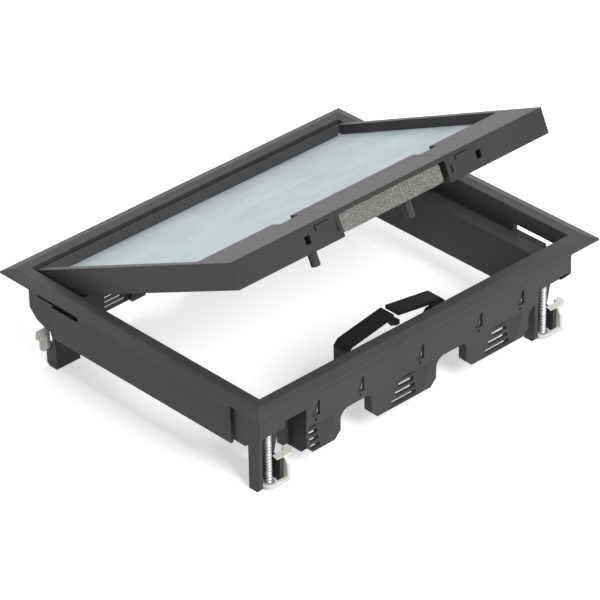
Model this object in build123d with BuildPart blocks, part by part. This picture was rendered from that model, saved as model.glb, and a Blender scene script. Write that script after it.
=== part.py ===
from build123d import *
import math
import os

os.makedirs("parts", exist_ok=True)

# Floor service outlet: a bevelled floor flange round a deep frame, with a hinged lid, a cable outlet,
# a cable bracket and four corner clamps. Millimetres. X runs along the long side, +Y towards the lid hinge,
# +Z up. The origin is the middle of the opening, level with the flange's outer top edge.

# Flange
flange_length = 252.0
flange_width = 204.0
flange_edge = 1.2
flange_rise = 2.1
bevel_width = 6.0
wall_rebate = 0.2
flange_border = 12.0
open_length = flange_length - 2 * flange_border
open_width = flange_width - 2 * flange_border
half_l = open_length / 2
half_w = open_width / 2

# Walls round the opening
wall = 1.5
lower_wall = 2.0
ledge_top = -13.2
ledge_thick = 2.0
end_ledge = 10.2
side_ledge = 10.7
band_bottom = -30.5
step_line = -25.5
step_depth = 0.3
corner_split = half_w - 19.0
end_wall_thick = 1.8
end_wall_bottom = -32.8
end_skirt_bottom = -41.0
end_skirt_half = corner_split - 2.0
skirt_thick = 2.0
block_bottom = -31.0
block_rise = 3.0
short_band_bottom = -15.2

# Finger slot in the end wall
finger_from = half_w - 41.0
finger_to = half_w - 6.0
finger_top = -7.9
finger_bottom = -12.9

# Corner posts, each a channel that opens outwards
post_right = half_l - 4.0
post_shift = open_length - 23.0
post_width = 16.9
post_plate = 2.4
post_back = half_w - 12.0
post_front = half_w - 3.9
post_bottom = -59.6
post_web = 1.1
outer_plate_top = -45.0
post_round = 2.0
gusset_out = 4.2
gusset_top = -28.0
boss_bottom = -25.0
boss_front = half_w - 1.7
short_band_left = post_right - post_shift + 12.0
short_band_right = post_right - 19.5

# Clamp screw, threaded bush and claw
screw_x = post_right - 8.7
screw_y = 6.0 - half_w
screw_r = 2.0
screw_bottom = -59.4
head_r = 3.4
head_height = 2.6
head_top = -13.7
head_clearance = 0.25
shank_clearance = 0.1
thread_clearance = 0.06
drive_width = 1.0
drive_length = 5.0
drive_depth = 1.4
bush_r = 3.2
bush_collar_r = 3.9
bush_collar = 0.35
bush_height = 3.0
swing_clearance = 0.06
ring_r = 4.6
lip_bottom = -59.0
lip_thick = 2.2
arm_back = 2.4
claw_plate_in = 9.3
claw_plate_thick = 2.2
claw_back = 5.6
plate_back = 2.6
tongue_clear = 14.6
tongue_step = 1.6
claw_top = -44.4
tongue_reach = 18.6
tongue_thick = 2.0
tongue_front = 2.0
tongue_skew = 3.4
tongue_back_cut = 4.0
raised_claw = 9.0

# Hanging louvre panels under the long walls
panel_starts = (short_band_left, -35.9, 34.6)
panel_ends = (short_band_left + 24.5, 12.0, short_band_right - 8.0)
panel_bottom = -46.7
panel_lap = 2.0
pocket_left = short_band_left - 7.0
pocket_y = 14.0 - half_w
pocket_thick = 1.5
panel_depth = 5.6
panel_chamfer = 4.2
panel_fillet = 7.0
field_right = 13.4
field_top_width = 7.4
field_bottom_width = 22.0
field_recess = 4.0
field_flush = 0.5
field_skin = 2.4
hip_out_top = 10.5
hip_out_bottom = 3.0
louvre_count = 4
louvre_pitch = 3.7
louvre_height = 2.2
louvre_first = -33.2
louvre_side = 1.0

# Device hooks: slanted windows with a tongue and a small hole under each
hook_positions = (short_band_left + 7.0, -44.0, 0.0, 44.0, short_band_right - 14.5)
hook_height = 9.0
hook_width = 5.4
hook_lean = 1.6
hook_z = -21.0
hook_tongue = 2.4
hook_tongue_thick = 1.0
hook_tongue_drop = 2.2
hook_hole_r = 0.9
hook_hole_z = -27.7

# Cable bracket and its gate
strap_out = 36.5
strap_gap = 1.6
strap_thick = 2.4
strap_back = 26.9 - half_w
strap_front = 16.7 - half_w
strap_low = -9.5
strap_high = -4.5
strap_corner = 3.0
hook_bar = 2.4
hook_reach = 4.4
hook_drop = 4.0
foot_top = -19.0
foot_bottom = -27.0
gate_axis_z = -23.0
gate_pin_r = 1.5
gate_clearance = 0.06
gate_side_gap = 0.4
gate_eye_r = 3.4
lug_thick = 2.6

# Lid, drawn in its own plane and shown part open
lid_open = 24.9
hinge_y = half_w - 5.9
hinge_z = -3.5
lid_half = half_l - 1.2
lid_front = 2.2 - half_w
lid_top = 2.1
lid_thick = 15.0
lid_nose = 5.6
lid_sweep = 9.4
lid_skin = 2.4
lid_side = 3.8
strip_depth = 32.0
recess_back = half_w - 7.8
recess_depth = 5.6
plate_thick = 1.5
plate_gap = 0.2
seat_width = 5.0
seat_thick = 2.0
recess_wall = 2.4
outlet_half = 41.0
outlet_gap = 0.2
outlet_lip = 2.6
outlet_depth = 26.0
outlet_post = 2.3
outlet_wall = 1.4
foam_left = -38.4
foam_right = 35.6
foam_top = 2.8
foam_bottom = 13.4
foam_thick = 6.0
foam_inset = 0.9
notch_width = 1.6
notch_top = 6.3
notch_bottom = 10.4
hole_x = 62.1
hole_drop = 7.75
hole_width = 3.6
hole_high = 4.6
latch_x = 50.8
latch_width = 9.4
latch_drop = 4.0
latch_high = 2.6
latch_proud = 0.8
latch_travel = 2.6
latch_gap = 0.3
latch_bolt = 6.0
latch_bar = 3.6
latch_shift = 1.8
latch_end = 4.5
grip_notch = 7.0
grip_half = 6.3
peg_left = -53.8
peg_right = 14.7
peg_row = 11.5
peg_r = 2.6
peg_tip = 25.0
pin_r = 2.0
pin_in = lid_half - 5.8
pin_clearance = 0.06

# Shared frames: the lid's plane and its side view, both at the hinge axis
lean = math.radians(lid_open)
lid_plane = Plane(origin=(0, hinge_y, hinge_z), x_dir=(1, 0, 0), z_dir=(0, math.sin(lean), math.cos(lean)))
lid_side_view = Plane(
    origin=(0, hinge_y, hinge_z), x_dir=(0, math.cos(lean), -math.sin(lean)), z_dir=(1, 0, 0)
)
front_view = Plane(origin=(0, 0, 0), x_dir=(1, 0, 0), z_dir=(0, -1, 0))
side_view = Plane(origin=(0, 0, 0), x_dir=(0, 1, 0), z_dir=(1, 0, 0))
wall_top = wall_rebate - flange_edge
out_l = half_l + wall
out_w = half_w + wall
lid_top_local = lid_top - hinge_z
lid_bottom_local = lid_top_local - lid_thick
front_local = lid_front - hinge_y
strip_local = front_local + strip_depth
recess_back_local = recess_back - hinge_y
floor_local = lid_top_local - recess_depth


# Flange ring with a bevelled outer border and a flat top round the opening
with BuildPart() as flange_ring:
    with BuildSketch(Plane.XY.offset(-flange_edge)):
        Rectangle(flange_length, flange_width)
        Rectangle(open_length, open_width, mode=Mode.SUBTRACT)
    extrude(amount=flange_edge)
    with BuildSketch(Plane.XY):
        Rectangle(flange_length, flange_width)
    with BuildSketch(Plane.XY.offset(flange_rise)):
        Rectangle(flange_length - 2 * bevel_width, flange_width - 2 * bevel_width)
    loft(ruled=True)
    with BuildSketch(Plane.XY.offset(-flange_edge)):
        Rectangle(open_length, open_width)
    extrude(amount=flange_edge + flange_rise, mode=Mode.SUBTRACT)
    # rebate that seats the walls
    with BuildSketch(Plane.XY.offset(-flange_edge)):
        Rectangle(2 * out_l, 2 * out_w)
        Rectangle(2 * (out_l + end_wall_thick), 2 * corner_split)
    extrude(amount=wall_rebate, mode=Mode.SUBTRACT)
flange_ring.part.label = "flange_ring"
export_step(flange_ring.part, "parts/flange_ring.step")


# Front long wall with its ledge, corner returns, posts, louvre panels and device hooks
with BuildPart() as front_carrier:
    # upper wall and ledge
    with BuildSketch(Plane.XY.offset(ledge_top - ledge_thick)):
        with Locations((0, -(half_w + out_w) / 2)):
            Rectangle(2 * out_l, wall)
    extrude(amount=wall_top - ledge_top + ledge_thick)
    with BuildSketch(Plane.XY.offset(ledge_top - ledge_thick)):
        with Locations((0, -half_w + side_ledge / 2)):
            Rectangle(open_length, side_ledge)
    extrude(amount=ledge_thick)
    # corner returns on the short sides
    for s in (-1, 1):
        with BuildSketch(Plane.XY.offset(ledge_top - ledge_thick)):
            with Locations((s * (half_l + wall / 2), -(out_w + corner_split) / 2)):
                Rectangle(wall, out_w - corner_split)
        extrude(amount=wall_top - ledge_top + ledge_thick)
        with BuildSketch(Plane.XY.offset(ledge_top - ledge_thick)):
            with Locations((s * (half_l - end_ledge / 2), -(half_w + corner_split) / 2)):
                Rectangle(end_ledge, half_w - corner_split)
        extrude(amount=ledge_thick)
        with BuildSketch(side_view.offset(s * (out_l - lower_wall / 2) - lower_wall / 2)):
            Polygon(
                (-corner_split, ledge_top - ledge_thick),
                (-corner_split, block_bottom),
                (-post_back, block_bottom),
                (-post_front, block_bottom + block_rise),
                (-out_w, block_bottom + block_rise + (out_w - post_front)),
                (-out_w, ledge_top - ledge_thick),
                align=None,
            )
        extrude(amount=lower_wall)
    # lower band and hanging panels cut from one outline
    with BuildSketch(front_view.offset(out_w - lower_wall)):
        with BuildLine():
            pts = [(-out_l, short_band_bottom), (-out_l, short_band_bottom - block_rise)]
            pts += [(short_band_left, short_band_bottom - block_rise), (short_band_left, band_bottom)]
            pts += [(short_band_right, band_bottom), (short_band_right, short_band_bottom - 2 * block_rise)]
            pts += [(out_l, short_band_bottom - 2 * block_rise), (out_l, short_band_bottom)]
            Polyline(*pts, close=True)
        make_face()
    extrude(amount=lower_wall)
    # step line along the band
    with BuildSketch(front_view.offset(out_w - step_depth)):
        with Locations(((short_band_left + short_band_right) / 2, (band_bottom + step_line) / 2)):
            Rectangle(short_band_right - short_band_left, step_line - band_bottom)
    extrude(amount=step_depth, mode=Mode.SUBTRACT)
    # louvre panels
    for a, b in zip(panel_starts, panel_ends):
        with BuildSketch(front_view.offset(out_w - step_depth - panel_depth)):
            Polygon(
                (a, band_bottom + panel_lap),
                (a, panel_bottom + panel_chamfer),
                (a + panel_chamfer, panel_bottom),
                (b - panel_chamfer, panel_bottom),
                (b, panel_bottom + panel_chamfer),
                (b, band_bottom + panel_lap),
                align=None,
            )
        extrude(amount=panel_depth)
        right = b - field_right
        low_width = min(field_bottom_width, right - a - field_skin)
        hip_left = max(right - field_top_width - hip_out_top, a + louvre_side)
        front = -(out_w - step_depth)
        with BuildSketch(Plane.XY.offset(band_bottom)):
            Polygon(
                (hip_left, front),
                (right + hip_out_top, front),
                (right, front + field_recess),
                (right - field_top_width, front + field_recess),
                align=None,
            )
        with BuildSketch(Plane.XY.offset(panel_bottom + field_flush)):
            Polygon(
                (right - low_width - field_flush, front),
                (right + hip_out_bottom, front),
                (right, front + field_flush),
                (right - low_width, front + field_flush),
                align=None,
            )
        loft(ruled=True, mode=Mode.SUBTRACT)
        # hollow behind the louvre field
        with BuildSketch(side_view.offset(right - low_width + louvre_side)):
            Polygon(
                (front + panel_depth, band_bottom - louvre_side),
                (front + panel_depth, panel_bottom),
                (front + field_flush + field_skin, panel_bottom),
                (front + field_flush + field_skin, panel_bottom + field_skin),
                align=None,
            )
        extrude(amount=low_width - 2 * louvre_side, mode=Mode.SUBTRACT)
        # louvre slots, longer towards the bottom
        for i in range(louvre_count):
            z = louvre_first - i * louvre_pitch
            share = (band_bottom - z) / (band_bottom - panel_bottom)
            long = field_top_width + (low_width - field_top_width) * share - 2 * louvre_side
            with BuildSketch(front_view.offset(out_w - step_depth - panel_depth - louvre_side)):
                with Locations((right - louvre_side - long / 2, z)):
                    Rectangle(long, louvre_height)
            extrude(amount=panel_depth + louvre_side, mode=Mode.SUBTRACT)
    # set-back wall beside the first panel, which leaves room for the claw
    with BuildSketch(front_view.offset(-pocket_y)):
        Polygon(
            (pocket_left, ledge_top - ledge_thick),
            (pocket_left, panel_bottom + panel_chamfer),
            (pocket_left + panel_chamfer, panel_bottom),
            (panel_starts[0] + pocket_thick, panel_bottom),
            (panel_starts[0] + pocket_thick, ledge_top - ledge_thick),
            align=None,
        )
    extrude(amount=pocket_thick)
    with BuildSketch(side_view.offset(panel_starts[0])):
        Polygon(
            (-out_w + step_depth, band_bottom),
            (-out_w + step_depth, panel_bottom + panel_chamfer),
            (-out_w + step_depth + panel_chamfer, panel_bottom),
            (pocket_y, panel_bottom),
            (pocket_y, ledge_top - ledge_thick),
            (-out_w + lower_wall, ledge_top - ledge_thick),
            (-out_w + lower_wall, band_bottom),
            align=None,
        )
    extrude(amount=pocket_thick)
    # device hook windows
    for x in hook_positions:
        with BuildSketch(front_view.offset(out_w - lower_wall)):
            Polygon(
                (x - hook_width / 2, hook_z - hook_height / 2),
                (x + hook_width / 2, hook_z - hook_height / 2),
                (x + hook_width / 2, hook_z + hook_height / 2),
                (x + hook_width / 2 - hook_lean, hook_z + hook_height / 2),
                align=None,
            )
            with Locations((x, hook_hole_z)):
                Circle(hook_hole_r)
        extrude(amount=lower_wall, mode=Mode.SUBTRACT)
        with BuildSketch(front_view.offset(out_w - lower_wall)):
            Polygon(
                (x - hook_tongue / 2, hook_z - hook_height / 2 - hook_tongue_thick),
                (x + hook_tongue / 2, hook_z - hook_height / 2 - hook_tongue_thick),
                (x + hook_width / 2 - hook_lean / 2, hook_z + hook_height / 2 - hook_tongue_drop),
                align=None,
            )
        extrude(amount=hook_tongue_thick)
    # corner posts
    for shift in (0, -post_shift):
        left = post_right - post_width + shift
        right = post_right + shift
        with BuildSketch(side_view.offset(left)):
            Polygon(
                (-post_back, ledge_top - ledge_thick),
                (-post_back, post_bottom),
                (-post_front + post_round, post_bottom),
                (-post_front, post_bottom + post_round),
                (-post_front, ledge_top - ledge_thick),
                align=None,
            )
        extrude(amount=post_plate)
        with BuildSketch(side_view.offset(right - post_plate)):
            Polygon(
                (-post_back, outer_plate_top),
                (-post_back, post_bottom),
                (-post_front + post_round, post_bottom),
                (-post_front, post_bottom + post_round),
                (-post_front, outer_plate_top),
                align=None,
            )
        extrude(amount=post_plate)
        with BuildSketch(front_view.offset(post_back)):
            Polygon(
                (left, ledge_top - ledge_thick),
                (left, post_bottom),
                (right, post_bottom),
                (right, outer_plate_top),
                (min(right + gusset_out, out_l - lower_wall), gusset_top),
                (min(right + gusset_out, out_l - lower_wall), ledge_top - ledge_thick),
                align=None,
            )
        extrude(amount=post_web)
        with BuildSketch(Plane.XY.offset(boss_bottom)):
            with Locations(((left + right) / 2, -(post_back + boss_front) / 2)):
                Rectangle(post_width, boss_front - post_back)
        extrude(amount=ledge_top - ledge_thick - boss_bottom)
        with Locations((screw_x + shift, screw_y, ledge_top)):
            CounterBoreHole(
                screw_r + shank_clearance,
                head_r + head_clearance,
                ledge_top - head_top + head_height,
                depth=ledge_top - boss_bottom,
            )
    # share of the finger slot in the right-hand corner return
    with BuildSketch(side_view.offset(half_l)):
        Polygon(
            (-finger_to, finger_bottom),
            (-corner_split, finger_bottom),
            (-corner_split, finger_top),
            (-finger_to, finger_top),
            align=None,
        )
    extrude(amount=wall, mode=Mode.SUBTRACT)
front_carrier.part.label = "front_carrier"
export_step(front_carrier.part, "parts/front_carrier.step")


# Back long wall: the front wall turned half round, with bores for the lid's hinge pins
with BuildPart() as back_carrier:
    add(front_carrier.part.rotate(Axis.Z, 180))
    with BuildSketch(side_view.offset(-out_l)):
        with Locations((hinge_y, hinge_z)):
            Circle(pin_r + pin_clearance)
    extrude(amount=2 * out_l, mode=Mode.SUBTRACT)
back_carrier.part.label = "back_carrier"
export_step(back_carrier.part, "parts/back_carrier.step")


# Right end wall with its ledge, inner skirt and the rest of the finger slot
with BuildPart() as right_end_wall:
    with BuildSketch(side_view.offset(half_l)):
        Polygon(
            (-corner_split, wall_top),
            (corner_split, wall_top),
            (corner_split, ledge_top - ledge_thick),
            (-corner_split, ledge_top - ledge_thick),
            align=None,
        )
    extrude(amount=wall)
    with BuildSketch(side_view.offset(out_l)):
        Polygon(
            (-corner_split, wall_top),
            (corner_split, wall_top),
            (corner_split, end_wall_bottom),
            (-corner_split, end_wall_bottom),
            align=None,
        )
    extrude(amount=end_wall_thick)
    with BuildSketch(Plane.XY.offset(ledge_top - ledge_thick)):
        with Locations((half_l - end_ledge / 2 + (end_wall_thick + wall) / 2, 0)):
            Rectangle(end_ledge + end_wall_thick + wall, 2 * corner_split)
    extrude(amount=ledge_thick)
    with BuildSketch(side_view.offset(half_l - end_ledge)):
        Polygon(
            (-end_skirt_half, ledge_top),
            (end_skirt_half, ledge_top),
            (end_skirt_half, end_skirt_bottom),
            (-end_skirt_half, end_skirt_bottom),
            align=None,
        )
    extrude(amount=skirt_thick)
    with BuildSketch(side_view.offset(half_l)):
        Polygon(
            (-corner_split, finger_bottom),
            (-finger_from, finger_bottom),
            (-finger_from, finger_top),
            (-corner_split, finger_top),
            align=None,
        )
    extrude(amount=wall + end_wall_thick, mode=Mode.SUBTRACT)
right_end_wall.part.label = "right_end_wall"
export_step(right_end_wall.part, "parts/right_end_wall.step")

with BuildPart() as left_end_wall:
    add(right_end_wall.part.rotate(Axis.Z, 180))
left_end_wall.part.label = "left_end_wall"
export_step(left_end_wall.part, "parts/left_end_wall.step")


# Clamp screw: countersunk into the ledge, slotted head, plain tip in the claw
with BuildPart() as front_right_screw:
    with BuildSketch(Plane.XY.offset(screw_bottom)):
        with Locations((screw_x, screw_y)):
            Circle(screw_r)
    extrude(amount=head_top - screw_bottom)
    with BuildSketch(Plane.XY.offset(head_top - head_height)):
        with Locations((screw_x, screw_y)):
            Circle(head_r)
    extrude(amount=head_height)
    with BuildSketch(Plane.XY.offset(head_top - drive_depth)):
        with Locations((screw_x, screw_y)):
            Rectangle(drive_length, drive_width)
            Rectangle(drive_width, drive_length)
    extrude(amount=drive_depth, mode=Mode.SUBTRACT)

# Threaded bush: rides up the screw and carries the claw
with BuildPart() as front_right_bush:
    with BuildSketch(Plane.XY.offset(lip_bottom - bush_collar)):
        with Locations((screw_x, screw_y)):
            Circle(bush_collar_r)
    extrude(amount=bush_collar)
    with BuildSketch(Plane.XY.offset(lip_bottom)):
        with Locations((screw_x, screw_y)):
            Circle(bush_r)
    extrude(amount=bush_height - bush_collar)
    with BuildSketch(Plane.XY.offset(lip_bottom - bush_collar)):
        with Locations((screw_x, screw_y)):
            Circle(screw_r + thread_clearance)
    extrude(amount=bush_height, mode=Mode.SUBTRACT)

# Claw: a lip round the bush, an arm past the post's front edge, an upright plate and a tongue on top
with BuildPart() as front_right_claw:
    with BuildSketch(Plane.XY.offset(lip_bottom)):
        with Locations((screw_x, screw_y)):
            Circle(ring_r)
        Polygon(
            (screw_x, screw_y - ring_r),
            (screw_x + claw_plate_in + claw_plate_thick, screw_y - ring_r),
            (screw_x + claw_plate_in + claw_plate_thick, screw_y - arm_back),
            (screw_x, screw_y - arm_back),
            align=None,
        )
        with Locations((screw_x, screw_y)):
            Circle(bush_r + swing_clearance, mode=Mode.SUBTRACT)
    extrude(amount=lip_thick)
    with BuildSketch(side_view.offset(screw_x + claw_plate_in)):
        Polygon(
            (screw_y - ring_r, lip_bottom),
            (screw_y + plate_back - tongue_back_cut, lip_bottom),
            (screw_y + plate_back, lip_bottom + tongue_back_cut),
            (screw_y + plate_back, claw_top),
            (screw_y - tongue_front, claw_top),
            (screw_y - ring_r, claw_top - tongue_back_cut),
            align=None,
        )
    extrude(amount=claw_plate_thick)
    with BuildSketch(Plane.XY.offset(claw_top - tongue_thick)):
        Polygon(
            (screw_x + claw_plate_in, screw_y - tongue_front),
            (screw_x + tongue_reach - tongue_skew, screw_y - tongue_front),
            (screw_x + tongue_reach, screw_y + claw_back - tongue_back_cut),
            (screw_x + tongue_reach, screw_y + claw_back),
            (screw_x + tongue_clear, screw_y + claw_back),
            (screw_x + tongue_clear - tongue_step, screw_y + plate_back),
            (screw_x + claw_plate_in, screw_y + plate_back),
            align=None,
        )
    extrude(amount=tongue_thick)

corner_set = {
    "screw": front_right_screw.part,
    "bush": front_right_bush.part,
    "claw": front_right_claw.part,
}
for kind, shape in corner_set.items():
    lift = 0 if kind == "screw" else raised_claw
    shape.label = f"front_right_{kind}"
    export_step(shape, f"parts/front_right_{kind}.step")
    front_left = shape.moved(Location((-post_shift, 0, 0)))
    front_left.label = f"front_left_{kind}"
    export_step(front_left, f"parts/front_left_{kind}.step")
    back_left = shape.rotate(Axis.Z, 180).moved(Location((0, 0, lift)))
    back_left.label = f"back_left_{kind}"
    export_step(back_left, f"parts/back_left_{kind}.step")
    back_right = front_left.rotate(Axis.Z, 180)
    back_right.label = f"back_right_{kind}"
    export_step(back_right, f"parts/back_right_{kind}.step")


# Fixed half of the cable bracket: foot on the front wall, upright and rising strap with a hook bar
with BuildPart() as cable_bracket:
    with BuildSketch(front_view.offset(-strap_back)):
        Polygon(
            (-strap_out, foot_bottom),
            (-strap_out, strap_low - strap_corner),
            (-strap_out + strap_corner, strap_low),
            (-strap_gap, strap_high),
            (-strap_gap, strap_high - strap_thick),
            (-strap_out + strap_corner + strap_thick / 2, strap_low - strap_thick),
            (-strap_out + strap_thick, strap_low - strap_corner - strap_thick / 2),
            (-strap_out + strap_thick, foot_bottom),
            align=None,
        )
    extrude(amount=strap_back - strap_front)
    with BuildSketch(side_view.offset(-strap_out)):
        Polygon(
            (strap_back, foot_top),
            (strap_back, foot_bottom),
            (-half_w + (lower_wall - wall), foot_bottom),
            (-half_w + (lower_wall - wall), foot_top),
            align=None,
        )
    extrude(amount=strap_thick)
    with BuildSketch(side_view.offset(-strap_gap - hook_bar)):
        Polygon(
            (strap_back, strap_high - strap_thick / 2),
            (strap_back, strap_high - hook_drop),
            (strap_front, strap_high - hook_drop - strap_thick),
            (strap_front - hook_reach, strap_high - hook_drop),
            (strap_front - hook_reach, strap_high - strap_thick / 2),
            align=None,
        )
    extrude(amount=hook_bar)
cable_bracket.part.label = "cable_bracket"
export_step(cable_bracket.part, "parts/cable_bracket.step")

# Fixed lug of the gate on the front wall, with its pin
gate_x = strap_out - gate_eye_r
lug_front = -half_w + (lower_wall - wall)
with BuildPart() as gate_lug:
    with BuildSketch(front_view.offset(-strap_front + gate_side_gap)):
        with Locations((gate_x, gate_axis_z)):
            Circle(gate_eye_r)
            Circle(gate_pin_r, mode=Mode.SUBTRACT)
    extrude(amount=-lug_front + strap_front - gate_side_gap)
gate_lug.part.label = "gate_lug"
export_step(gate_lug.part, "parts/gate_lug.step")

with BuildPart() as gate_pin:
    with BuildSketch(front_view.offset(-strap_back)):
        with Locations((gate_x, gate_axis_z)):
            Circle(gate_pin_r)
    extrude(amount=strap_back - lug_front)
gate_pin.part.label = "gate_pin"
export_step(gate_pin.part, "parts/gate_pin.step")

# Swinging half of the cable bracket
with BuildPart() as cable_gate:
    with BuildSketch(front_view.offset(-strap_back)):
        with Locations((gate_x, gate_axis_z)):
            Circle(gate_eye_r)
        Polygon(
            (strap_out, gate_axis_z),
            (strap_out, strap_low - strap_corner),
            (strap_out - strap_corner, strap_low),
            (strap_gap, strap_high),
            (strap_gap, strap_high - strap_thick),
            (strap_out - strap_corner - strap_thick / 2, strap_low - strap_thick),
            (strap_out - strap_thick, strap_low - strap_corner - strap_thick / 2),
            (strap_out - strap_thick, gate_axis_z),
            align=None,
        )
        with Locations((gate_x, gate_axis_z)):
            Circle(gate_pin_r + gate_clearance, mode=Mode.SUBTRACT)
    extrude(amount=strap_back - strap_front)
cable_gate.part.label = "cable_gate"
export_step(cable_gate.part, "parts/cable_gate.step")


# Lid frame: shallow tray with a carpet recess, a rolled back edge and an open cable outlet
with BuildPart() as lid_frame:
    with BuildSketch(lid_side_view.offset(-lid_half)):
        with BuildLine():
            nose_z = -math.sqrt(lid_sweep**2 - lid_nose**2)
            sweep = math.degrees(math.atan2(nose_z, lid_nose))
            Line((front_local, lid_top_local), (0, lid_top_local))
            CenterArc((0, 0), lid_nose, 0, 90)
            Line((lid_nose, 0), (lid_nose, nose_z))
            CenterArc((0, 0), lid_sweep, -90, 90 + sweep)
            Line((0, -lid_sweep), (front_local, lid_bottom_local))
            Line((front_local, lid_bottom_local), (front_local, lid_top_local))
        make_face()
    extrude(amount=2 * lid_half)
    # hollow under the front strip and under the plate
    inner_back = recess_back_local - seat_width
    with BuildSketch(lid_plane.offset(lid_bottom_local)):
        with Locations((0, (front_local + lid_skin + strip_local - recess_wall) / 2)):
            Rectangle(2 * (lid_half - lid_side), strip_depth - lid_skin - recess_wall)
    extrude(amount=lid_thick - lid_skin, mode=Mode.SUBTRACT)
    with BuildSketch(lid_plane.offset(lid_bottom_local)):
        with Locations((0, (strip_local - recess_wall + recess_back_local) / 2)):
            Rectangle(2 * (lid_half - lid_side), recess_back_local - strip_local + recess_wall)
    extrude(amount=floor_local - plate_thick - seat_thick - lid_bottom_local, mode=Mode.SUBTRACT)
    # carpet recess and the window under the plate, leaving a seat for it
    with BuildSketch(lid_plane.offset(floor_local - plate_thick)):
        with Locations((0, (strip_local + recess_back_local) / 2)):
            Rectangle(2 * (lid_half - lid_side), recess_back_local - strip_local)
    extrude(amount=recess_depth + plate_thick, mode=Mode.SUBTRACT)
    with BuildSketch(lid_plane.offset(floor_local - plate_thick - seat_thick)):
        with Locations((0, (strip_local + recess_back_local) / 2)):
            Rectangle(
                2 * (lid_half - lid_side - seat_width), recess_back_local - strip_local - 2 * seat_width
            )
    extrude(amount=seat_thick, mode=Mode.SUBTRACT)
    # cable outlet: cut for the insert through the front strip and face
    with BuildSketch(lid_plane.offset(lid_bottom_local)):
        with Locations((0, front_local + outlet_depth / 2)):
            Rectangle(2 * outlet_half, outlet_depth)
    extrude(amount=lid_thick, mode=Mode.SUBTRACT)
    # notches for the insert's clips, square holes, latch slots and finger notches
    for s in (-1, 1):
        with BuildSketch(lid_plane.offset(lid_top_local - notch_bottom)):
            with Locations((s * (outlet_half + notch_width / 2), front_local + lid_skin / 2)):
                Rectangle(notch_width, lid_skin)
        extrude(amount=notch_bottom - notch_top, mode=Mode.SUBTRACT)
        with BuildSketch(lid_plane.offset(lid_top_local - hole_drop - hole_high / 2)):
            with Locations((s * hole_x, front_local + lid_skin / 2)):
                Rectangle(hole_width, lid_skin)
        extrude(amount=hole_high, mode=Mode.SUBTRACT)
        with BuildSketch(lid_plane.offset(lid_top_local - latch_drop - latch_high / 2)):
            with Locations((s * latch_x, front_local + lid_skin / 2)):
                Rectangle(latch_width + 2 * latch_gap, lid_skin)
        extrude(amount=latch_high + latch_gap, mode=Mode.SUBTRACT)
        with BuildSketch(lid_plane.offset(floor_local)):
            with Locations((s * latch_x, strip_local - grip_notch / 2)):
                Rectangle(2 * grip_half, grip_notch)
        extrude(amount=recess_depth, mode=Mode.SUBTRACT)
        with BuildSketch(lid_side_view.offset(s * (lid_half + pin_in) / 2 - (lid_half - pin_in) / 2)):
            Circle(pin_r)
        extrude(amount=lid_half - pin_in, mode=Mode.SUBTRACT)
lid_frame.part.label = "lid_frame"
export_step(lid_frame.part, "parts/lid_frame.step")

# Steel plate in the carpet recess
with BuildPart() as lid_plate:
    with BuildSketch(lid_plane.offset(floor_local - plate_thick)):
        with Locations((0, (strip_local + recess_back_local) / 2)):
            Rectangle(
                2 * (lid_half - lid_side - plate_gap), recess_back_local - strip_local - 2 * plate_gap
            )
    extrude(amount=plate_thick)
lid_plate.part.label = "lid_plate"
export_step(lid_plate.part, "parts/lid_plate.step")

# Cable outlet insert: top strip, lip over the foam, end posts and back wall
insert_half = outlet_half - outlet_gap
with BuildPart() as outlet_insert:
    with BuildSketch(lid_plane.offset(lid_top_local - lid_skin)):
        with Locations((0, front_local + (outlet_depth - outlet_gap) / 2)):
            Rectangle(2 * insert_half, outlet_depth - outlet_gap)
    extrude(amount=lid_skin)
    with BuildSketch(lid_plane.offset(lid_top_local - outlet_lip)):
        with Locations((0, front_local + outlet_wall / 2)):
            Rectangle(2 * insert_half, outlet_wall)
    extrude(amount=outlet_lip)
    for s in (-1, 1):
        with BuildSketch(lid_plane.offset(lid_bottom_local)):
            with Locations((s * (insert_half - outlet_post / 2), front_local + (foam_thick + foam_inset) / 2)):
                Rectangle(outlet_post, foam_thick + foam_inset)
        extrude(amount=lid_thick)
        with BuildSketch(lid_plane.offset(lid_top_local - notch_bottom + latch_gap)):
            with Locations((s * (outlet_half + notch_width / 2 - outlet_gap), front_local + lid_skin / 2)):
                Rectangle(notch_width, lid_skin - 2 * foam_inset)
        extrude(amount=notch_bottom - notch_top - 2 * latch_gap)
    with BuildSketch(lid_plane.offset(lid_top_local - foam_bottom)):
        with Locations((0, front_local + foam_inset + foam_thick + outlet_wall / 2)):
            Rectangle(2 * insert_half, outlet_wall)
    extrude(amount=foam_bottom)
outlet_insert.part.label = "outlet_insert"
export_step(outlet_insert.part, "parts/outlet_insert.step")

# Foam strip that seals round the cables
with BuildPart() as foam_strip:
    with BuildSketch(lid_plane.offset(lid_top_local - foam_bottom)):
        with Locations(((foam_left + foam_right) / 2, front_local + foam_inset + foam_thick / 2)):
            Rectangle(foam_right - foam_left, foam_thick)
    extrude(amount=foam_bottom - foam_top)
foam_strip.part.label = "foam_strip"
export_step(foam_strip.part, "parts/foam_strip.step")

# Pegs under the front strip, hanging from the underside of the top skin
for x, name in ((peg_left, "left_peg"), (peg_right, "right_peg")):
    top = lid_top_local - lid_skin
    with BuildPart() as peg:
        with BuildSketch(lid_plane.offset(lid_top_local - peg_tip)):
            with Locations((x, front_local + peg_row)):
                Circle(peg_r)
        extrude(amount=top - lid_top_local + peg_tip)
    peg.part.label = name
    export_step(peg.part, f"parts/{name}.step")

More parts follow.
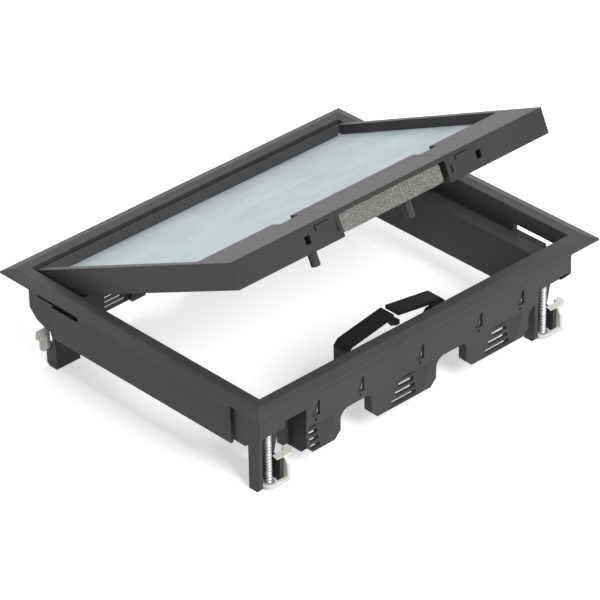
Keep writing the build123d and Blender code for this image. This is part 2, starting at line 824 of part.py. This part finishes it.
# Lid latches: a bolt that shows in the front face, pulled back from the recess
for s, name in ((-1, "left_latch"), (1, "right_latch")):
    with BuildPart() as latch:
        with BuildSketch(lid_plane.offset(lid_top_local - latch_drop - latch_high / 2)):
            with Locations((s * latch_x, front_local - latch_proud + latch_bolt / 2)):
                Rectangle(latch_width, latch_bolt)
            bar_length = strip_depth + latch_proud - latch_end
            with Locations((s * (latch_x - latch_shift), front_local - latch_proud + bar_length / 2)):
                Rectangle(latch_bar, bar_length)
        extrude(amount=latch_high)
    latch.part.label = name
    export_step(latch.part, f"parts/{name}.step")

# Hinge pins in the lid's ends, running in the back wall's corner returns
for s, name in ((-1, "left_hinge_pin"), (1, "right_hinge_pin")):
    length = out_l - pin_in
    with BuildPart() as pin:
        with BuildSketch(lid_side_view.offset(s * (pin_in + out_l) / 2 - length / 2)):
            Circle(pin_r)
        extrude(amount=length)
    pin.part.label = name
    export_step(pin.part, f"parts/{name}.step")
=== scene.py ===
import math

import bmesh
import bpy
import numpy as np
from mathutils import Matrix


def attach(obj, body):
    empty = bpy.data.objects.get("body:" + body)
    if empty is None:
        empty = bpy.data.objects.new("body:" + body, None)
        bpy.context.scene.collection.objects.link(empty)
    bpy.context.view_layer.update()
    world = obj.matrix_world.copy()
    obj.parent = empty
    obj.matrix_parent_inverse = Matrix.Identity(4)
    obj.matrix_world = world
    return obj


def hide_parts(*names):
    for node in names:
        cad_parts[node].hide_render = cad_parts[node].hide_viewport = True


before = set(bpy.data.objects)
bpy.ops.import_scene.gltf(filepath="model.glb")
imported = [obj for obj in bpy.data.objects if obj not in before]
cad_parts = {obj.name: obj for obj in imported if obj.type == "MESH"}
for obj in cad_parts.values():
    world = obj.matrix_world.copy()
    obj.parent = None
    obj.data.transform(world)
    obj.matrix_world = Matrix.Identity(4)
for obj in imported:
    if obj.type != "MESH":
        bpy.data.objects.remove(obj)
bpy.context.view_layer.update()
scene = bpy.context.scene
MM = 0.001

# Camera: a long lens from the front left corner, a third of the way up to overhead, as the
# catalogue view has it. Its place and lens come from the flange's four corners.
place = np.array((-1.2562, -1.3579, 1.1307))
heading, drop, roll = (math.radians(angle) for angle in (42.743, 32.081, -1.178))
flat_reach = math.cos(drop)
ahead = np.array(
    (math.sin(heading) * flat_reach, math.cos(heading) * flat_reach, -math.sin(drop))
)
level = np.cross(ahead, (0, 0, 1))
level /= np.linalg.norm(level)
down = np.cross(ahead, level)
across = math.cos(roll) * level - math.sin(roll) * down
below = math.sin(roll) * level + math.cos(roll) * down
lens = bpy.data.cameras.new("long_lens")
lens.lens, lens.sensor_width, lens.clip_end = 241.3, 36.0, 20.0
camera = bpy.data.objects.new("camera", lens)
scene.collection.objects.link(camera)
axes = np.column_stack((across, -below, -ahead))
camera.matrix_world = Matrix.Translation(place) @ Matrix(axes.tolist()).to_4x4()
scene.camera = camera
scene.view_settings.view_transform = "Standard"


# Shader sums: a wrapped socket takes part in ordinary Python arithmetic, and each operation
# adds its own Math node.
class Sum:
    def __init__(self, finish, socket):
        self.finish, self.socket = finish, socket

    def _math(self, operation, a, b):
        return self.finish.node("Math", {"operation": operation}, {0: a, 1: b})

    def __add__(self, other):
        return self._math("ADD", self, other)

    def __sub__(self, other):
        return self._math("SUBTRACT", self, other)

    def __rsub__(self, other):
        return self._math("SUBTRACT", other, self)

    def __mul__(self, other):
        return self._math("MULTIPLY", self, other)

    __radd__, __rmul__ = __add__, __mul__


# Finishes: the nodes of one new material, made from its name, or of the world, and the shader
# that they end in.
class Finish:
    def __init__(self, owner):
        if isinstance(owner, str):
            owner = self.material = bpy.data.materials.new(owner)
        owner.use_nodes = True
        self.tree = owner.node_tree
        self.shader = self.tree.nodes.get("Principled BSDF") or self.tree.nodes["Background"]

    def node(self, kind, settings=None, inputs=None, output=0):
        made = self.tree.nodes.new("ShaderNode" + kind)
        for key, value in (settings or {}).items():
            if key == "stops":
                ramp = made.color_ramp
                while len(ramp.elements) < len(value):
                    ramp.elements.new(0.5)
                for element, (at, colour) in zip(ramp.elements, value):
                    element.position, element.color = at, (*colour, 1.0)
            else:
                setattr(made, key, value)
        for key, value in (inputs or {}).items():
            if isinstance(value, Sum):
                self.tree.links.new(value.socket, made.inputs[key])
            else:
                made.inputs[key].default_value = value
        return Sum(self, made.outputs[output])

    def place(self, scale=(1, 1, 1), turn=(0, 0, 0)):
        where = self.node("TexCoord", output="Object")
        return self.node("Mapping", {}, {"Vector": where, "Scale": scale, "Rotation": turn})

    def grain(self, where, scale, detail=3.0, rough=0.5):
        sockets = {"Vector": where, "Scale": scale, "Detail": detail, "Roughness": rough}
        return self.node("TexNoise", {}, sockets)

    def ramp(self, value, *stops):
        return self.node("ValToRGB", {"stops": stops}, {"Fac": value})

    def mix(self, factor, a, b):
        sockets = {0: factor, 6: (*a, 1.0), 7: (*b, 1.0)}
        return self.node("Mix", {"data_type": "RGBA"}, sockets, 2)

    def seen(self):
        """One for what the camera sees, straight, mirrored or through glass; none for the rest."""
        straight, mirrored, passed = (
            self.node("LightPath", output="Is " + kind + " Ray")
            for kind in ("Camera", "Glossy", "Transmission")
        )
        first = self.node("Math", {"operation": "MAXIMUM"}, {0: straight, 1: mirrored})
        return self.node("Math", {"operation": "MAXIMUM"}, {0: first, 1: passed})

    def bump(self, height, strength, distance):
        sockets = {"Height": height, "Strength": strength, "Distance": distance}
        return self.node("Bump", {}, sockets)

    def put(self, **sockets):
        for key, value in sockets.items():
            target = self.shader.inputs[key.replace("_", " ")]
            if isinstance(value, Sum):
                self.tree.links.new(value.socket, target)
            else:
                target.default_value = value


# Moulding compound: glass-filled nylon with the fine spark texture of the mould, a little
# uneven in tone. The frame, the lid and the straps each have their own tone of it.
def moulded(name, tone, gloss):
    finish = Finish(name)
    where = finish.place()
    cloud = finish.grain(where, 22.0, 2.0)
    spark = finish.grain(where, 1900.0, 2.0, 0.6)
    darker, lighter, gloss_span = 0.9, 1.12, 0.12
    dark = tuple(c * darker for c in tone)
    light = tuple(c * lighter for c in tone)
    finish.put(
        Base_Color=finish.ramp(cloud * 0.75 + spark * 0.25, (0.3, dark), (0.7, light)),
        Roughness=spark * gloss_span + (gloss - gloss_span / 2),
        Normal=finish.bump(spark, 0.12, 0.0002),
        Specular_IOR_Level=0.25,
    )
    return finish.material


# Softened copies: a moulded part has no knife edges. The CAD node's own triangles are merged
# into flat faces in a copy, whose edges then get a small round that catches the light.
def softened(node, body, radius, material, name):
    same_point, same_plane, sharp = 0.00001, math.radians(0.5), math.radians(35)
    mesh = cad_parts[node].data.copy()
    mesh.materials.clear()
    mesh.materials.append(material)
    loose = bmesh.new()
    loose.from_mesh(mesh)
    bmesh.ops.remove_doubles(loose, verts=loose.verts, dist=same_point)
    bmesh.ops.dissolve_limit(
        loose,
        angle_limit=same_plane,
        verts=loose.verts,
        edges=loose.edges,
        use_dissolve_boundaries=False,
    )
    for face in loose.faces:
        face.material_index, face.smooth = 0, False
    loose.to_mesh(mesh)
    loose.free()
    piece = bpy.data.objects.new(name, mesh)
    scene.collection.objects.link(piece)
    edge = piece.modifiers.new("edge", "BEVEL")
    edge.width, edge.segments, edge.limit_method = radius, 2, "ANGLE"
    edge.angle_limit, edge.harden_normals, edge.use_clamp_overlap = sharp, False, True
    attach(piece, body)
    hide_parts(node)


# Prisms: small forms are joined from closed prisms. Each prism is an outline of points and the
# vector that carries the outline to its far face.
def add_prisms(name, prisms, body, material):
    joined = bmesh.new()
    for outline, reach in prisms:
        near = [joined.verts.new(np.array(point) * MM) for point in outline]
        far = [joined.verts.new((np.array(point) + np.array(reach)) * MM) for point in outline]
        joined.faces.new(near[::-1])
        joined.faces.new(far)
        for k in range(len(near)):
            joined.faces.new((near[k - 1], near[k], far[k], far[k - 1]))
    bmesh.ops.recalc_face_normals(joined, faces=joined.faces)
    mesh = bpy.data.meshes.new(name)
    joined.to_mesh(mesh)
    joined.free()
    mesh.materials.append(material)
    piece = bpy.data.objects.new(name, mesh)
    scene.collection.objects.link(piece)
    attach(piece, body)


# Frame: the flange ring, the two long carriers and the two short walls, all in one iron-grey
# moulding compound.
iron = moulded("iron_grey_moulding", (0.047, 0.047, 0.049), 0.46)
for node, radius in (
    ("flange_ring", 0.35),
    ("front_carrier", 0.12),
    ("back_carrier", 0.12),
    ("left_end_wall", 0.25),
    ("right_end_wall", 0.25),
):
    softened(node, "housing", radius * MM, iron, node + "_moulding")

# Web fillets: the hanging panels run into the band above them in a hollow curve, wide on
# their right side and tight on their left. The back's are the front's, turned half round.
band_bottom, web_face, web_thick = -30.5, -91.2, 1.7
web_corners = ((-58.5, 6.0), (-35.9, -2.5), (12.0, 6.0), (34.6, -2.5), (82.5, 6.0))
sweep = np.linspace(0, np.pi / 2, 9)
for side, turn in (("front", 1), ("back", -1)):
    prisms = []
    for corner_x, reach in web_corners:
        x = corner_x + reach * (1 - np.sin(sweep))
        z = band_bottom - abs(reach) * (1 - np.cos(sweep))
        outline = [(turn * corner_x, turn * web_face, band_bottom)]
        outline += [(turn * a, turn * web_face, b) for a, b in zip(x, z)]
        prisms.append((outline, (0, turn * web_thick, 0)))
    add_prisms(side + "_web_fillets", prisms, "housing", iron)

# Lid: the same compound in a darker tone, for the frame, the outlet insert, the pegs and the
# latches. The lid stands open by its lean, turned about its hinge axis.
lean = math.radians(24.9)
hinge = np.array((0.0, 84.1, -3.5))
lid_across = np.array((1.0, 0.0, 0.0))
lid_back = np.array((0.0, math.cos(lean), -math.sin(lean)))
lid_up = np.array((0.0, math.sin(lean), math.cos(lean)))
lid_iron = moulded("lid_moulding", (0.037, 0.037, 0.039), 0.42)
softened("lid_frame", "lid", 0.3 * MM, lid_iron, "lid_moulding")
softened("outlet_insert", "lid", 0.2 * MM, lid_iron, "outlet_insert_moulding")
for node in ("left_peg", "right_peg"):
    softened(node, "lid", 0.3 * MM, lid_iron, node + "_moulding")
for node in ("left_latch", "right_latch"):
    softened(node, node, 0.2 * MM, lid_iron, node + "_moulding")


# Catch cups: shallow blind cups moulded behind the two square holes in the lid's face. Each
# has a back, two upright walls and two shelves.
def lid_point(x, y, z):
    """A point in the lid's own plane, measured from its hinge axis."""
    return hinge + x * lid_across + y * lid_back + z * lid_up


def lid_block(x, y, z):
    """A block in the lid's plane from three pairs of low and high sides."""
    low, high = z
    ring = ((x[0], low), (x[1], low), (x[1], high), (x[0], high))
    return [lid_point(a, y[0], b) for a, b in ring], (y[1] - y[0]) * lid_back


cup_back, cup_depth, cup_height = (-165.0, -164.2), (-169.4, -165.1), (-5.6, 1.2)
cup_half, shelf_half, cup_wall = 3.4, 2.5, 0.8
cups = []
for hole in (-62.1, 62.1):
    cups.append(lid_block((hole - cup_half, hole + cup_half), cup_back, cup_height))
    for wall in (-cup_half, cup_half - cup_wall):
        cups.append(lid_block((hole + wall, hole + wall + cup_wall), cup_depth, cup_height))
    for shelf in (cup_height[0], cup_height[1] - cup_wall):
        sides = hole - shelf_half, hole + shelf_half
        cups.append(lid_block(sides, cup_depth, (shelf, shelf + cup_wall)))
add_prisms("catch_cups", cups, "lid", lid_iron)

# Lid plate: galvanised sheet laid in the carpet recess, brushed along its length, with faint
# cloudy spangle.
sheet = Finish("galvanised_sheet")
along = sheet.place((14.0, 620.0, 620.0), (-lean, 0, 0))
hairline = sheet.grain(along, 1.0, 4.0, 0.6)
fleck = sheet.grain(sheet.place((1.0, 3.0, 3.0)), 260.0, 3.0, 0.65)
spangle = sheet.grain(sheet.place(), 38.0, 3.0, 0.55)
sheet.put(
    Base_Color=sheet.ramp(
        hairline * 0.45 + fleck * 0.25 + spangle * 0.3,
        (0.36, (0.40, 0.475, 0.49)),
        (0.64, (0.60, 0.665, 0.67)),
    ),
    Metallic=0.35,
    Roughness=hairline * 0.2 + 0.38,
    Normal=sheet.bump(hairline, 0.1, 0.0002),
)
softened("lid_plate", "lid", 0.15 * MM, sheet.material, "lid_plate_sheet")

# Foam strip: open-cell foam pressed into the cable outlet, cut square and flecked with light
# and dark cells.
foam = Finish("open_cell_foam")
cells = foam.node(
    "TexVoronoi",
    {"feature": "F1"},
    {"Vector": foam.place(), "Scale": 1900.0, "Randomness": 1.0},
)
clump = foam.grain(foam.place(), 1300.0, 4.0, 0.7)
foam.put(
    Base_Color=foam.ramp(
        cells * 0.45 + clump * 0.6,
        (0.34, (0.07, 0.067, 0.06)),
        (0.52, (0.19, 0.185, 0.168)),
        (0.74, (0.38, 0.37, 0.34)),
    ),
    Roughness=0.95,
    Normal=foam.bump(clump - cells * 0.8, 0.8, 0.0006),
)


def add_grid(name, points, body, material):
    """Joins a grid of points, rows by columns, into a closed mesh: each quad takes four
    neighbours, the columns run round, and the first and last rows are one point each."""
    same_point = 0.000001
    rows, cols, _ = points.shape
    index = np.arange(rows * cols).reshape(rows, cols)
    right = np.roll(index, -1, axis=1)
    quads = np.stack((index[:-1], right[:-1], right[1:], index[1:]), axis=-1).reshape(-1, 4)
    mesh = bpy.data.meshes.new(name)
    mesh.from_pydata((points.reshape(-1, 3) * MM).tolist(), [], quads.tolist())
    mesh.materials.append(material)
    whole = bmesh.new()
    whole.from_mesh(mesh)
    bmesh.ops.remove_doubles(whole, verts=whole.verts, dist=same_point)
    bmesh.ops.recalc_face_normals(whole, faces=whole.faces)
    whole.to_mesh(mesh)
    whole.free()
    piece = bpy.data.objects.new(name, mesh)
    scene.collection.objects.link(piece)
    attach(piece, body)
    return piece


def foam_block(half, centre, corner=0.14, rows=40, cols=220):
    """A box with rounded edges: the sine and cosine of two angles, each raised to a small power
    and given back its sign, times the half sizes. Fine sine waves roughen the surface."""

    def squared(wave):
        return np.sign(wave) * np.abs(wave) ** corner

    v = np.linspace(-np.pi / 2, np.pi / 2, rows)[:, None]
    u = np.linspace(0, 2 * np.pi, cols, endpoint=False)[None, :]
    x = squared(np.cos(v)) * squared(np.cos(u)) * half[0]
    y = squared(np.sin(v)) * np.ones_like(u) * half[1]
    z = squared(np.cos(v)) * squared(np.sin(u)) * half[2]
    ripple_share = 0.0075
    ripple = ripple_share * np.sin(x * 5.1 + z * 7.3) * np.sin(z * 6.1 - y * 4.7)
    block = np.stack((x, y, z), axis=-1) * (1 - np.abs(ripple))[..., None]
    block[0], block[-1] = block[0].mean(axis=0), block[-1].mean(axis=0)
    return centre + block @ np.stack((lid_across, lid_back, lid_up))


foam_centre = lid_point(-1.4, -168.0, -2.5)
foam_points = foam_block((37.0, 3.0, 5.3), foam_centre)
strip = add_grid("foam_seal", foam_points, "lid", foam.material)
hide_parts("foam_strip")

# Clamp screws: zinc-plated machine screws with a rolled thread, a cross slot in a cheese head
# and a short plain tip. The bushes, the gate's pin and the lid's pins have the same plating.
zinc = Finish("zinc_plate")
haze = zinc.grain(zinc.place(), 420.0, 3.0)
zinc.put(
    Base_Color=zinc.ramp(haze, (0.3, (0.42, 0.44, 0.46)), (0.7, (0.60, 0.62, 0.64))),
    Metallic=0.6,
    Roughness=haze * 0.2 + 0.34,
)


def screw_surface(x, y):
    """Rows of rings up the screw's axis. The thread is a triangle wave along the height, cut
    flat at crest and root, that shifts by one pitch in each turn. The head's top dips where
    either cross coordinate is small."""
    bottom, top, tip, taper = -59.4, -13.7, 1.2, 0.5
    run_in, run_out, neck, head_edge = 1.2, 0.8, 0.6, 0.2
    pitch, outer, root, head, head_height = 1.9, 2.0, 1.45, 3.4, 2.6
    crest, flank = 1.35, 1.7
    slot_half, slot_reach, slot_depth = 0.5, 2.5, 1.4
    under_head = top - head_height
    turn = np.linspace(0, 2 * np.pi, 36, endpoint=False)[None, :]
    plain = np.ones_like(turn)
    z = np.linspace(bottom + run_in, under_head - run_out, 300)[:, None]
    phase = (z / pitch - turn / (2 * np.pi)) % 1.0
    thread = root + (outer - root) * (crest - np.abs(2 * phase - 1) * flank).clip(0, 1)
    rings = np.array((3.3, 3.1, 2.6, 2.5, 2.45, 1.8, 1.2, 0.8, 0.55, 0.5, 0.45, 0.2, 0))[:, None]
    cross = np.minimum(np.abs(rings * np.cos(turn)), np.abs(rings * np.sin(turn)))
    dip = np.where((cross < slot_half) & (rings < slot_reach), slot_depth, 0.0)
    profile = (
        (0 * plain, bottom),
        (tip * plain, bottom),
        (root * plain, bottom + taper),
        (thread, z),
        (root * plain, under_head - neck),
        (root * plain, under_head),
        (head * plain, under_head),
        (head * plain, top - head_edge),
        (rings * plain, top - dip),
    )
    radii = np.vstack([radius for radius, _ in profile])
    heights = np.vstack([np.broadcast_to(height, radius.shape) for radius, height in profile])
    return np.stack((x + radii * np.cos(turn), y + radii * np.sin(turn), heights), axis=-1)


corners = {
    "front_right": (101.3, -84.0),
    "front_left": (-103.7, -84.0),
    "back_left": (-101.3, 84.0),
    "back_right": (103.7, 84.0),
}
for corner, (x, y) in corners.items():
    screw_points = screw_surface(x, y)
    screw = add_grid(corner + "_clamp_screw", screw_points, corner + "_screw", zinc.material)
    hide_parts(corner + "_screw")
for node in ("gate_pin", "left_hinge_pin", "right_hinge_pin", *(c + "_bush" for c in corners)):
    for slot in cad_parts[node].material_slots:
        slot.material = zinc.material

# Claws: natural nylon, off-white and slightly uneven, with a fine grain.
nylon = Finish("natural_nylon")
wisp = nylon.grain(nylon.place(), 130.0, 3.0)
nylon.put(
    Base_Color=nylon.ramp(wisp, (0.3, (0.74, 0.73, 0.67)), (0.7, (0.84, 0.83, 0.77))),
    Roughness=wisp * 0.1 + 0.4,
    Normal=nylon.bump(wisp, 0.1, 0.0003),
)
for corner in corners:
    claw = corner + "_claw"
    softened(claw, claw, 0.25 * MM, nylon.material, claw + "_moulding")

# Tongue roots: a thin gusset carries each claw's tongue inwards, towards the screw. The back
# left claw is climbed further than the others.
tongue_top, gusset_thick, raised = -44.4, 0.5, 9.0
gusset = ((4.6, -1.6), (9.4, -2.0), (9.4, 2.6), (5.4, 2.6))
for corner, (x, y) in corners.items():
    turn = 1 if y < 0 else -1
    base = tongue_top - gusset_thick + (raised if corner == "back_left" else 0.0)
    outline = [(x + turn * a, y + turn * b, base) for a, b in gusset]
    root = (outline, (0, 0, gusset_thick))
    add_prisms(corner + "_tongue_root", [root], corner + "_claw", nylon.material)

# Cable bracket: two black straps that meet over the cables, one fixed and one on a pin.
strap = moulded("black_strap", (0.013, 0.013, 0.014), 0.5)
softened("cable_bracket", "housing", 0.25 * MM, strap, "cable_bracket_moulding")
softened("gate_lug", "housing", 0.2 * MM, strap, "gate_lug_moulding")
softened("cable_gate", "cable_gate", 0.25 * MM, strap, "cable_gate_moulding")

# Studio: a sheet of paper under the frame, a broad lamp in front, a second overhead and an
# even surround. Paper and surround look white and throw back less light than white would.
floor_half, floor_height = 4.0, -0.0597
rim = ((-1, -1), (1, -1), (1, 1), (-1, 1))
ground = bpy.data.meshes.new("studio_floor")
floor_points = [(a * floor_half, b * floor_half, floor_height) for a, b in rim]
ground.from_pydata(floor_points, [], [(0, 1, 2, 3)])
paper = Finish("studio_paper")
seen = paper.seen()
paper.put(
    Base_Color=paper.mix(seen, (0.22, 0.22, 0.22), (0.86, 0.86, 0.86)),
    Emission_Color=paper.mix(seen, (0.0, 0.0, 0.0), (0.5, 0.5, 0.5)),
    Emission_Strength=1.0,
    Roughness=0.9,
)
ground.materials.append(paper.material)
floor = bpy.data.objects.new("studio_floor", ground)
scene.collection.objects.link(floor)


def soft_lamp(name, at, size, power):
    """A square lamp that faces the middle of the frame."""
    lamp = bpy.data.lights.new(name, "AREA")
    lamp.size, lamp.energy = size, power
    holder = bpy.data.objects.new(name, lamp)
    scene.collection.objects.link(holder)
    back = np.array(at) / np.linalg.norm(at)
    side = np.cross((0, 0, 1), back)
    side /= np.linalg.norm(side)
    turned = np.column_stack((side, np.cross(back, side), back))
    holder.matrix_world = Matrix.Translation(at) @ Matrix(turned.tolist()).to_4x4()


soft_lamp("front_lamp", (-0.4, -2.3, 1.9), 1.2, 85)
soft_lamp("top_lamp", (0.6, 0.9, 2.8), 1.4, 30)
world = bpy.data.worlds.new("white_room")
scene.world = world
sky = Finish(world)
sky.put(Color=sky.mix(sky.seen(), (0.34, 0.34, 0.34), (1.0, 1.0, 1.0)), Strength=1.0)
